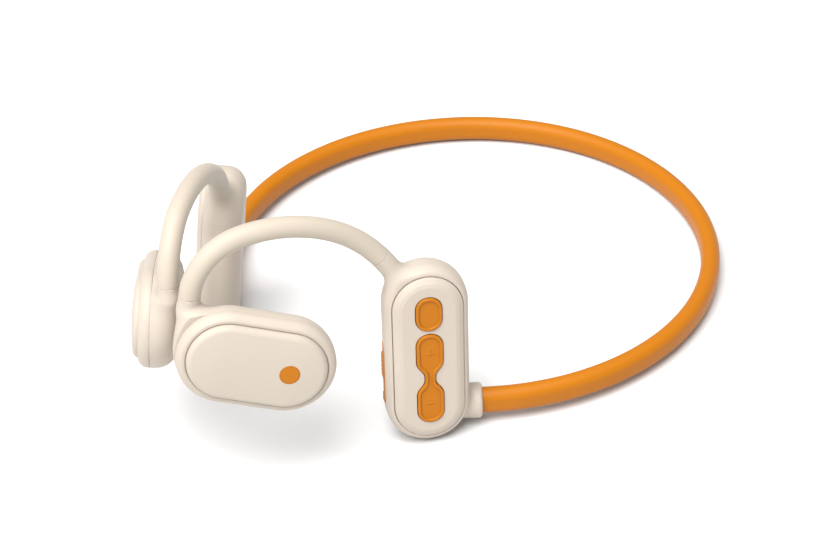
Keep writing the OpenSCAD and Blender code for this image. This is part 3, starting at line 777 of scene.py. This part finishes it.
def flap_field(points):
    x, y, z = points.T
    outline = oblong(y - PORT_Y, z - PORT_Z, FLAP_LENGTH, FLAP_WIDTH)
    skin = housing_skin(x, y, z) - FLAP_PROUD
    body = np.maximum(rounded(outline, skin, FLAP_EDGE), PORT_FLOOR + 0.05 - x)
    body = rounded(body, FLAP_PIVOT[1] + STRAP - z, 0.2)
    grip = block(x, y, z, (GRIP_X, PORT_Y, GRIP_Z), GRIP_SIZE, GRIP_EDGE)
    grooves = GROOVE_DEPTH * np.cos((z - GRIP_Z) * 2 * math.pi / GROOVE_PITCH)
    grooved = (x > GROOVES_FROM) & (np.abs(z - GRIP_Z) < GROOVES_REACH)
    body = joined(body, grip + np.where(grooved, grooves, 0), GRIP_EDGE)
    plug = rounded(oblong(y - PORT_Y, z - PORT_Z, *PLUG), PORT_FLOOR - PLUG_DEPTH - x, 0.2)
    plug = np.maximum(plug, x - PORT_FLOOR - 0.5)
    hollow = -oblong(y - PORT_Y, z - PORT_Z, *PLUG_HOLLOW)
    body = np.minimum(body, np.maximum(plug, np.where(x < PORT_FLOOR + 0.2, hollow, -1)))
    strap = block(x, y, z, (FLAP_PIVOT[0], PORT_Y, FLAP_PIVOT[1] + STRAP_SIZE[2] / 2), STRAP_SIZE, 0.15)
    barrel = np.maximum(norm(x - FLAP_PIVOT[0], z - FLAP_PIVOT[1]) - BARREL_R,
                        np.abs(y - PORT_Y) - STRAP_SIZE[1] / 2)
    return np.minimum(body, np.minimum(strap, barrel))


def build_housing(name, side, fine):
    left = side > 0
    shape = surface(housing_field(left), (-17.6, -5.3, -22.3), (13.6, 5.9, 27.6), 0.28 * fine)
    piece(f"{name}_housing", HOUSING, side, shape, MATERIALS["cream_plastic"], "cream_plastic",
          "root", f"{name}_housing_shell")
    shape = surface(cover_field(left), (-8.1, 3.5, -19.9), (8.1, 6.7, 19.9), 0.22 * fine)
    piece(f"{name}_cover", HOUSING, side, shape, MATERIALS["cream_plastic"], "cream_plastic",
          "root", f"{name}_housing_cover")


def build_keys(fine):
    shape = surface(button_field, (-4.4, 2.6, 6.4), (4.4, 7.0, 15.6), 0.13 * fine)
    piece("multifunction_key", HOUSING, 1, shape, MATERIALS["orange_key"], "orange_key",
          "power_button", "power_button")
    shape = surface(rocker_field, (-4.4, 2.3, -15.9), (4.4, 7.0, 6.9), 0.13 * fine)
    piece("volume_key", HOUSING, 1, shape, MATERIALS["orange_key"], "orange_key",
          "volume_rocker", "volume_rocker")
    shape = surface(flap_field, (6.7, -2.8, -13.4), (10.2, 2.6, 3.0), 0.14 * fine)
    piece("port_flap", HOUSING, 1, shape, MATERIALS["orange_key"], "orange_key",
          "port_cover", "port_cover")


# ---- Pods ----

POD_LENGTH = 33.59
POD_HEIGHT = 21.2
POD_DEPTH = 5.9
POD_INNER_R = 4.65
SEAM_Y = -0.2
PLATE_LENGTH = 29.6
PLATE_WIDTH = 17.2
PLATE_LOW = 1.6
PLATE_CREST = 4.1
PLATE_EDGE = 1.4
CROWN_RADIUS = 52
PAD_LENGTH = 21
PAD_WIDTH = 9.6
PAD_FLOOR = -5.4
PAD_GAP = 0.08
PAD_LIP = 0.12
PAD_EDGE = 0.3
POD_CAVITY = (30.8, 18.4)
BADGE_R = 2.2
BADGE_X = -6.7
BADGE_RISE = 0.03
BADGE_EDGE = 0.06
STEM_BASE = (12.6, -2.9, 0.0)
STEM_R = (2.3, 2.36, 2.75)
STEM_NECK = 3.0
STEM_FILLET = 4.6
FOOT = POD.from_band(HOOK.to_band(hook_point(SLEEVE_START)[None]))[0]
FOOT_ALONG = (HOOK.turn @ along(SLEEVE_START)) @ POD.turn


def pod_field(points):
    x, y, z = points.T
    outline = oblong(z, x, POD_LENGTH, POD_HEIGHT)
    body = rounded(outline, -(y + POD_DEPTH), POD_INNER_R)
    above = (points - FOOT) @ FOOT_ALONG
    neck = FOOT - FOOT_ALONG * STEM_NECK
    stem = joined(capsule(points, FOOT + FOOT_ALONG * 3, neck, STEM_R[0], STEM_R[1]),
                  capsule(points, neck, STEM_BASE, STEM_R[1], STEM_R[2]), 1.0)
    body = joined(body, stem, STEM_FILLET * np.clip((0.2 - above) / 3.2, 0.001, 1))
    body = rounded(body, above, SEAM_R)
    body = rounded(body, y - SEAM_Y, SEAM_R)
    cavity = rounded(oblong(z, x, *POD_CAVITY), -(y + POD_DEPTH - WALL), POD_INNER_R - WALL)
    body = np.maximum(body, -cavity)
    pad = np.maximum(oblong(z, x, PAD_LENGTH + 2 * PAD_GAP, PAD_WIDTH + 2 * PAD_GAP), y - PAD_FLOOR)
    return rounded(body, -pad, PAD_LIP)


def pod_piece(name, side, shape, material, node):
    """Adds one piece of a pod that stands for one CAD node."""
    piece(name, POD, side, shape, MATERIALS[material], material, "root", node)


def build_pod_body(name, side, fine):
    shape = surface(pod_field, (-17.4, -6.5, -11.3), (19.2, 0.4, 12.6), 0.3 * fine)
    pod_piece(f"{name}_pod_body", side, shape, "cream_plastic", f"{name}_pod_inner_shell")


def build_pod_shoulder(name, side):
    """The ring from the seam to the faceplate: round flank, shallow groove, lip, then the inner wall."""
    half = POD_HEIGHT / 2
    flank = arc((half - SEAM_R, SEAM_Y + SEAM_R), SEAM_R, -90, 0, 5) + arc((8.4, 0.3), 2.2, 0, 62, 20)
    groove = [(9.35, 2.29), (9.2, 2.26), (9.05, 2.31)]
    lip = [(8.95, 2.3), (8.83, 2.26), (8.74, 2.18), (8.69, 2.06)]
    inner = [(8.69, PLATE_LOW), (7.6, PLATE_LOW), (7.6, 0.9), (8.9, 0.9), (8.9, SEAM_Y)]
    shape = ring_sweep(resampled(flank + groove + lip + inner, 0.5), POD_LENGTH, POD_HEIGHT, closed=True)
    pod_piece(f"{name}_pod_shoulder", side, shape, "cream_plastic", f"{name}_pod_outer_shell")


def build_faceplate(name, side):
    half = PLATE_WIDTH / 2
    flat_half = half - PLATE_EDGE
    edge_y = PLATE_CREST - flat_half ** 2 / (2 * CROWN_RADIUS) - PLATE_EDGE
    foot = [(0, PLATE_LOW + 0.1), (half - 0.3, PLATE_LOW + 0.1), (half + 0.06, PLATE_LOW + 0.25),
            (half + 0.07, 1.96), (half + 0.04, 2.06)]
    crown = [(rho, PLATE_CREST - rho ** 2 / (2 * CROWN_RADIUS))
             for rho in np.linspace(flat_half - 0.15, 0, 14)]
    profile = foot + arc((flat_half, edge_y), PLATE_EDGE, 0, 82, 16) + crown
    shape = ring_sweep(resampled(profile, 0.6), PLATE_LENGTH, PLATE_WIDTH)
    pod_piece(f"{name}_pod_plate", side, shape, "cream_plastic", f"{name}_faceplate")


def plate_height(x, z):
    """Height of the faceplate's crown under the badge, from the badge's own centre."""
    rho = norm(np.maximum(np.abs(x + BADGE_X) - (PLATE_LENGTH - PLATE_WIDTH) / 2, 0), z)
    return PLATE_CREST - 0.01 - rho ** 2 / (2 * CROWN_RADIUS)


def build_badge(name, side):
    brim = arc((BADGE_R - BADGE_EDGE, BADGE_RISE - BADGE_EDGE), BADGE_EDGE, 0, 90, 4)
    profile = [(0, -0.1), (BADGE_R, -0.1)] + brim + [(0, BADGE_RISE)]
    points, faces, _ = ring_sweep(resampled(profile, 0.4), 2 * BADGE_R + 0.001, 2 * BADGE_R,
                                  end_steps=48, straight_steps=1, crown=plate_height)
    shape = (points + np.array([BADGE_X, 0, 0]), faces, None)
    pod_piece(f"{name}_pod_inlay", side, shape, "orange_inlay", f"{name}_badge")


def build_pad(name, side):
    half = PAD_WIDTH / 2
    profile = ([(0, PAD_FLOOR), (half, PAD_FLOOR)]
               + arc((half - PAD_EDGE, PAD_EDGE - POD_DEPTH), PAD_EDGE, 0, -90, 7)
               + [(half - 1.2, -POD_DEPTH), (0, -POD_DEPTH)])
    shape = ring_sweep(resampled(profile, 0.4), PAD_LENGTH, PAD_WIDTH)
    pod_piece(f"{name}_pod_pad", side, shape, "cream_silicone", f"{name}_skin_pad")


def build_pod(name, side, fine):
    build_pod_body(name, side, fine)
    build_pod_shoulder(name, side)
    build_faceplate(name, side)
    build_badge(name, side)
    build_pad(name, side)


# ---- Build ----

FINE = 1.0

build_neckband()
for side_name, side_sign in SIDES.items():
    build_hook(side_name, side_sign)
    build_housing(side_name, side_sign, FINE)
    build_pod(side_name, side_sign, FINE)
build_keys(FINE)

for cad_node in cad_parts.values():
    for n, packed in enumerate(cad_node.data.materials):
        cad_node.data.materials[n] = MATERIALS[packed.name]


# ---- Camera, floor and light ----

def aimed(at, azimuth, elevation, roll=0.0, distance=1.0):
    """World matrix of something that looks at a point from an azimuth and elevation."""
    a, e, r = (math.radians(t) for t in (azimuth, elevation, roll))
    back = np.array([math.cos(a) * math.cos(e), math.sin(a) * math.cos(e), math.sin(e)])
    flat = np.array([-math.sin(a), math.cos(a), 0.0])
    rise = np.cross(back, flat)
    right = math.cos(r) * flat + math.sin(r) * rise
    up = math.cos(r) * rise - math.sin(r) * flat
    matrix = Matrix.Identity(4)
    for row in range(3):
        matrix[row][0], matrix[row][1], matrix[row][2] = right[row], up[row], back[row]
        matrix[row][3] = at[row] + back[row] * distance
    return matrix


LENS = 106.52
CAMERA_AT = (0.000109, 0.0, 0.009523)
CAMERA_AZIMUTH = 41.77
CAMERA_ELEVATION = 35.644
CAMERA_ROLL = -2.872
CAMERA_DISTANCE = 0.56417
LIGHTS_AT = (0, 0, 0.02)
FLOOR_REACH = 4.0
FLOOR_GREY = 0.72
SKY = 0.4

camera = bpy.data.objects.new("camera", bpy.data.cameras.new("camera"))
bpy.context.scene.collection.objects.link(camera)
camera.data.lens = LENS
camera.data.sensor_width = 36
camera.data.clip_start = 0.01
camera.matrix_world = aimed(CAMERA_AT, CAMERA_AZIMUTH, CAMERA_ELEVATION, CAMERA_ROLL,
                            CAMERA_DISTANCE)
bpy.context.scene.camera = camera


def soft_light(name, azimuth, elevation, distance, size, power, colour=(1, 1, 1)):
    lamp = bpy.data.lights.new(name, "AREA")
    lamp.shape = "DISK"
    lamp.size = size
    lamp.energy = power
    lamp.color = colour
    obj = bpy.data.objects.new(name, lamp)
    bpy.context.scene.collection.objects.link(obj)
    obj.matrix_world = aimed(LIGHTS_AT, azimuth, elevation, 0, distance)
    return obj


soft_light("key_light", 8, 58, 1.5, 1.3, 37)
soft_light("top_light", 60, 84, 1.6, 1.6, 14)

floor_mesh = bpy.data.meshes.new("floor")
floor_mesh.from_pydata([(x * FLOOR_REACH, y * FLOOR_REACH, 0)
                        for x, y in ((-1, -1), (1, -1), (1, 1), (-1, 1))], [], [(0, 1, 2, 3)])
floor = bpy.data.objects.new("floor", floor_mesh)
floor.location = (0, 0, cad_box[0][2] - 0.0001)
bpy.context.scene.collection.objects.link(floor)
floor_material = bpy.data.materials.new("pale_floor")
floor_nodes = Nodes(floor_material)
floor_shader = floor_nodes.add("ShaderNodeBsdfDiffuse", {"Color": (FLOOR_GREY,) * 3 + (1,)})
floor_nodes.add("ShaderNodeOutputMaterial", {"Surface": floor_shader.outputs[0]})
floor_mesh.materials.append(floor_material)

world = bpy.data.worlds.new("studio")
world.use_nodes = True
world.node_tree.nodes["Background"].inputs["Color"].default_value = (1, 1, 1, 1)
world.node_tree.nodes["Background"].inputs["Strength"].default_value = SKY
bpy.context.scene.world = world
bpy.context.scene.view_settings.view_transform = "Standard"
